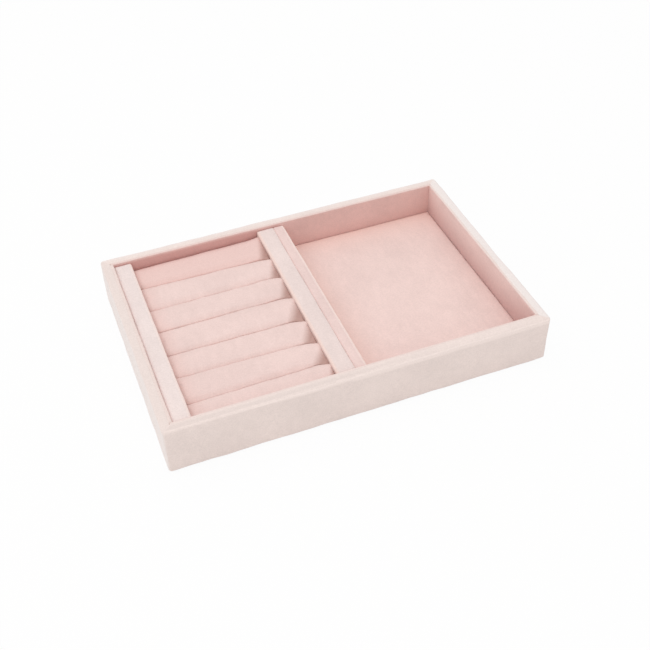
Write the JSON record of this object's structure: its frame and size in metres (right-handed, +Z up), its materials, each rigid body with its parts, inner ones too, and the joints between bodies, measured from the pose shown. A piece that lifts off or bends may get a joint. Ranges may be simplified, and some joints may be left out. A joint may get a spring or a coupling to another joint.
{
  "type": "jewelry tray",
  "caption": "Rectangular velvet-covered jewelry tray with a drop-in ring insert of soft rolls between rails, a divider and an open padded compartment.",
  "frame": {"origin": "middle of the underside, on the surface that the tray stands on", "axes": "+X along the length to the right, towards the open compartment; +Y to the back; +Z up"},
  "size_m": [0.24, 0.16, 0.033],
  "materials": {
    "outer_velvet": "matte",
    "rail_velvet": "matte",
    "lining_velvet": "matte",
    "roll_velvet": "matte",
    "pad_velvet": "matte",
    "foam": "matte",
    "fibreboard": "matte",
    "greyboard": "matte",
    "liner_paper": "matte",
    "underside_felt": "matte"
  },
  "bodies": {
    "tray": {"front_wall_board": "fibreboard", "back_wall_board": "fibreboard", "left_wall_board": "fibreboard", "right_wall_board": "fibreboard", "base_board": "fibreboard", "outer_wrap": "outer_velvet", "underside_filler": "greyboard", "bottom_cover": "underside_felt", "front_lining_card": "greyboard", "front_lining_cloth": "lining_velvet", "back_lining_card": "greyboard", "back_lining_cloth": "lining_velvet", "left_lining_card": "greyboard", "left_lining_cloth": "lining_velvet", "right_lining_card": "greyboard", "right_lining_cloth": "lining_velvet", "divider_board": "fibreboard", "divider_cloth": "rail_velvet", "pad_board": "greyboard", "pad_foam": "foam", "pad_cloth": "pad_velvet", "bay_liner": "liner_paper"},
    "ring_insert": {"insert_board": "greyboard", "left_rail_core": "fibreboard", "left_rail_cloth": "rail_velvet", "right_rail_core": "fibreboard", "right_rail_cloth": "rail_velvet", "ring_roll_foam_1": "foam", "ring_roll_cloth_1": "roll_velvet", "ring_roll_foam_2": "foam", "ring_roll_cloth_2": "roll_velvet", "ring_roll_foam_3": "foam", "ring_roll_cloth_3": "roll_velvet", "ring_roll_foam_4": "foam", "ring_roll_cloth_4": "roll_velvet", "ring_roll_foam_5": "foam", "ring_roll_cloth_5": "roll_velvet", "ring_roll_foam_6": "foam", "ring_roll_cloth_6": "roll_velvet", "ring_roll_foam_7": "foam", "ring_roll_cloth_7": "roll_velvet"}
  },
  "joints": [
    {"name": "ring_insert_lift", "type": "slide", "parent": "tray", "child": "ring_insert", "axis": [0, 0, 1], "range_m": [0, 0.045]}
  ]
}
